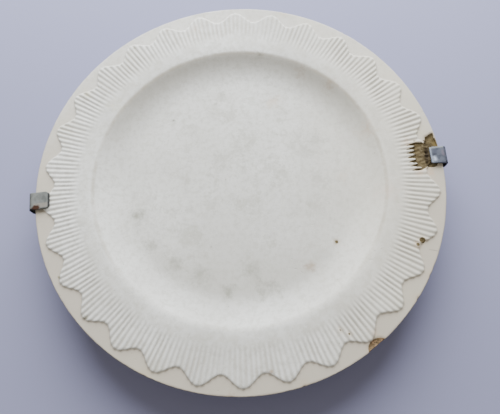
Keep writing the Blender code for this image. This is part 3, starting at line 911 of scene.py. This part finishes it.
def mottled_plaster(look, radius):
    """The plaster's colour, cloudy and streaked, darker where hands and clay have been, plus painted
    shade.
    """
    cloudy = look.ramp(look.noise(14.0, 3.0, 0.5, 1.0), 0.35, 0.65)
    body = look.mix(cloudy, (0.66, 0.652, 0.612), (0.775, 0.772, 0.735))
    fine = look.ramp(look.noise(260.0, 6.0, 0.78, 2.0), 0.44, 0.62)
    body = look.paint(body, fine, 0.50, (0.49, 0.48, 0.42))
    right_side = look.ramp(look.coordinate("X"), 0.02, 0.13)
    body = look.paint(body, right_side, 0.60, (0.62, 0.575, 0.465))
    near_side = look.ramp(look.coordinate("Y"), -0.02, -0.075)
    near_well = look.times(near_side, look.ramp(radius, 0.094, 0.080))
    body = look.paint(body, near_well, 0.50, (0.50, 0.485, 0.43))
    # Painted shade with a little dirty plaster: a crescent on the cove's far slope, which faces away
    # from the light.
    cove = look.times(look.ramp(radius, 0.088, 0.105), look.ramp(radius, 0.1095, 0.1070))
    far_cove_shade_and_grime = look.times(cove, look.ramp(look.coordinate("Y"), 0.0, 0.085))
    body = look.paint(body, far_cove_shade_and_grime, 0.55, (0.43, 0.405, 0.345))
    smudge = look.ramp(look.noise(46.0, 9.0, 0.80, 6.0), 0.49, 0.60)
    smudge = look.times(smudge, look.ramp(radius, 0.100, 0.050))
    body = look.paint(body, smudge, 0.48, (0.42, 0.41, 0.345))
    height = look.coordinate("Z")
    # Painted shade with some soiled plaster: the flange darker and warmer towards the near side, away
    # from the light.
    flange = look.times(look.ramp(height, 0.0367, 0.0362), look.ramp(radius, 0.134, 0.137))
    near_shade_and_dirt = look.ramp(look.coordinate("Y"), 0.12, -0.02, 0.25, 0.92)
    return look.paint(body, flange, near_shade_and_dirt, (0.53, 0.475, 0.385))


def corners_dirty_and_shaded(look, body, radius):
    """Darkening along the cove's lip, the scallops' foot and the grooves, partly dirty and partly
    painted shade, and loose dark specks.
    """
    outer = look.ramp(radius, 0.128, 0.149)
    yellow = look.times(outer, look.ramp(look.noise(16.0, 3.0, 0.6, 4.0), 0.48, 0.70))
    body = look.paint(body, yellow, 0.45, (0.62, 0.59, 0.44))
    # Dirty and painted shade: a broken dark line along the cove's lip, weaker on the near side, which
    # faces the light.
    lip = look.times(look.ramp(radius, 0.1055, 0.1072), look.ramp(radius, 0.1096, 0.1078))
    broken_lip = look.ramp(look.noise(55.0, 5.0, 0.7, 5.0), 0.38, 0.60, 0.25, 1.0)
    far_side = look.ramp(look.coordinate("Y"), -0.085, -0.030, 0.15, 0.60)
    lip = look.times(look.times(lip, broken_lip), far_side)
    body = look.mix(lip, body, (0.42, 0.375, 0.29))
    apron = look.times(look.ramp(radius, 0.109, 0.113), look.ramp(radius, 0.126, 0.118))
    apron = look.times(apron, look.ramp(look.noise(90.0, 7.0, 0.78, 24.0), 0.42, 0.62))
    body = look.paint(body, apron, 0.40, (0.50, 0.475, 0.40))
    # Dirty and painted shade: darker in the corner at the scallops' foot, fading out onto the flange.
    foot_dirt_and_shade = look.attribute("foot")
    foot_dirt_and_shade = look.times(foot_dirt_and_shade, look.ramp(look.noise(70.0, 4.0, 0.6, 7.0), 0.25, 0.65))
    body = look.paint(body, foot_dirt_and_shade, 0.20, (0.36, 0.335, 0.285))
    # Dirty and painted shade: darker down in the rib grooves, all round, where the ribs are deep.
    groove = look.times(look.attribute("groove"), look.ramp(radius, 0.116, 0.128))
    uneven = look.ramp(look.noise(28.0, 3.0, 0.6, 8.0), 0.35, 0.65, 0.22, 0.72)
    groove = look.times(groove, uneven)
    body = look.mix(groove, body, (0.45, 0.415, 0.34))
    specks = look.ramp(look.noise(520.0, 2.0, 0.5, 9.0), 0.715, 0.765)
    rare = look.ramp(look.noise(45.0, 2.0, 0.5, 10.0), 0.46, 0.62)
    body = look.paint(body, specks, rare, (0.16, 0.13, 0.10))
    centre, turn, half_long, half_wide = CRACK
    reach = look.distance(centre, (1.0, half_wide / half_long, 4.0), turn)
    crack = look.ramp(reach, half_long * MM, half_long * MM * 0.8)
    return look.paint(body, crack, 0.65, (0.22, 0.20, 0.18))


def core_colour(look):
    """Olive-brown core that shows where the plaster has broken away, with a painted shadow in the cavity
    by the right hook.
    """
    grainy = look.ramp(look.noise(430.0, 5.0, 0.7, 17.0), 0.35, 0.65)
    core = look.mix(grainy, (0.075, 0.052, 0.020), (0.150, 0.114, 0.055))
    pale = look.ramp(look.noise(210.0, 4.0, 0.6, 18.0), 0.60, 0.72)
    core = look.paint(core, pale, 0.4, (0.30, 0.25, 0.16))
    ochre = look.blotch((145.5, 27.0, 35.0), 6.0, 300.0, 22.0)
    core = look.paint(core, ochre, 0.6, (0.19, 0.13, 0.03))
    # Painted shadow: a near-black streak in the cavity under the right hook's lip.
    deep = look.blotch((139.2, 17.5, 35.0), 30.0, 260.0, 23.0, (0.19, 0.8, 1.0))
    core = look.paint(core, deep, 0.88, (0.030, 0.018, 0.010))
    rusty = look.blotch((92.0, -117.5, 35.0), 22.0, 500.0, 25.0)
    patchy = look.ramp(look.noise(480.0, 5.0, 0.7, 26.0), 0.40, 0.58, 0.15, 0.95)
    return look.paint(core, rusty, patchy, (0.44, 0.28, 0.16))


def edge_and_back(look, body, radius):
    """Dirty brown wall below the rim's edge, and a greyer, stained back."""
    height = look.coordinate("Z")
    wobble = look.times(look.noise(60.0, 4.0, 0.6, 19.0), 0.0022)
    level = look.math("ADD", height, wobble)
    wall = look.ramp(level, 0.0371, 0.0361)
    rim_only = look.ramp(radius, 0.1486, 0.1496)
    brown = look.mix(look.noise(50.0, 4.0, 0.65, 20.0), (0.20, 0.145, 0.085), (0.44, 0.39, 0.31))
    body = look.paint(body, look.times(wall, rim_only), 0.8, brown)
    under = look.ramp(height, 0.0262, 0.0240)
    stain = look.ramp(look.noise(22.0, 5.0, 0.62, 21.0), 0.42, 0.68)
    back = look.mix(stain, (0.56, 0.545, 0.50), (0.40, 0.355, 0.28))
    return look.paint(body, under, 0.85, back)


def steel(name, dark, light, rough_low, rough_high):
    """Galvanised sheet: spangled grey with rubbed streaks; returns the look and its colour."""
    look = Look(name)
    crystals = look.tree.nodes.new("ShaderNodeTexVoronoi")
    crystals.inputs["Scale"].default_value = 420.0
    look.link(look.place, crystals.inputs["Vector"])
    tone = look.tree.nodes.new("ShaderNodeRGBToBW")
    look.link(crystals.outputs["Color"], tone.inputs["Color"])
    spangle = look.times(tone.outputs["Val"], 0.35)
    cloud = look.math("ADD", spangle, look.noise(120.0, 5.0, 0.6, 1.0))
    colour = look.mix(look.ramp(cloud, 0.45, 0.85), dark, light)
    look.shader.inputs["Metallic"].default_value = 0.85
    look.shader.inputs["Specular IOR Level"].default_value = 0.25
    rough = look.ramp(look.noise(260.0, 5.0, 0.7, 2.0), 0.3, 0.7, rough_low, rough_high)
    look.fill(look.shader.inputs["Roughness"], rough)
    dents = look.bump(look.noise(110.0, 3.0, 0.5, 3.0), 0.5, 0.0006)
    grain = look.bump(look.noise(1900.0, 4.0, 0.6, 4.0), 0.18, 0.0002, dents)
    look.link(grain, look.shader.inputs["Normal"])
    return look, colour


def clean_steel():
    """Right strap: blue-grey, with pale borders painted as highlights, a bright patch painted as a
    reflection, and painted shade along its near edge and at its black outer corner.
    """
    look, colour = steel("right_strap_zinc", (0.050, 0.055, 0.074), (0.114, 0.125, 0.158), 0.30, 0.45)
    colour = look.wear_highlight_and_shade_bars(colour, CLEAN_BARS)
    # Painted shadow: near-black at the outer near corner, where the strap turns down over the rim.
    corner_shadow = look.bar(153.2, -6.2, 1.5, 1.3)
    colour = look.mix(corner_shadow, colour, (0.006, 0.006, 0.008))
    look.fill(look.shader.inputs["Base Color"], colour)
    look.fill(look.shader.inputs["Metallic"], 0.30)
    return look.material


def rusty_steel():
    """Left strap: dull grey, rusted at its outer near corner, with painted shade along its cut edges and
    outer bend.
    """
    look, colour = steel("left_strap_zinc", (0.125, 0.131, 0.123), (0.200, 0.208, 0.196), 0.45, 0.7)
    colour = look.wear_highlight_and_shade_bars(colour, RUSTY_BARS)
    rust = look.blotch(RUST_SPOT, 9.0, 260.0, 5.0, (1.0, 0.62, 1.0), STRAP_ANGLE)
    rust = look.ramp(rust, 0.15, 0.55)
    brown = look.mix(look.noise(700.0, 4.0, 0.7, 6.0), (0.010, 0.004, 0.002), (0.072, 0.025, 0.009))
    colour = look.mix(rust, colour, brown)
    # Painted shadow: near-black where the underside shows at the outer near corner.
    black = look.bar(-152.4, -6.8, 2.2, 1.2)
    colour = look.mix(black, colour, (0.006, 0.005, 0.004))
    look.fill(look.shader.inputs["Base Color"], colour)
    look.fill(look.shader.inputs["Metallic"], look.ramp(rust, 0.2, 0.6, 0.30, 0.0))
    return look.material


def hardware_steel(name, dark, light, rough_low, rough_high):
    """Small steel pieces."""
    look, colour = steel(name, dark, light, rough_low, rough_high)
    stain = look.ramp(look.noise(240.0, 5.0, 0.7, 8.0), 0.60, 0.72)
    colour = look.paint(colour, stain, 0.6, (0.16, 0.075, 0.035))
    look.fill(look.shader.inputs["Base Color"], colour)
    return look.material


def dress_hardware():
    """Give the CAD pieces that are shown as they are their materials."""
    zinc = hardware_steel("zinc_plating", (0.36, 0.36, 0.33), (0.62, 0.61, 0.56), 0.26, 0.46)
    wire = hardware_steel("drawn_wire", (0.26, 0.26, 0.27), (0.45, 0.45, 0.46), 0.28, 0.5)
    sheet = hardware_steel("tab_sheet", (0.26, 0.27, 0.27), (0.44, 0.45, 0.44), 0.38, 0.6)
    special = {"hanging_ring": wire, "ring_tab": sheet}
    for name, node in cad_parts.items():
        if name in ("plaster_mold", "left_strap", "right_strap"):
            continue
        node.data.materials.clear()
        node.data.materials.append(special.get(name, zinc))


make_camera()
make_world(WORLD_COLOUR, WORLD_STRENGTH)
make_light("window", WINDOW_SPOT, WINDOW_SIZE, WINDOW_POWER, WINDOW_COLOUR)
make_floor()
build_mold()
build_straps()
dress_hardware()
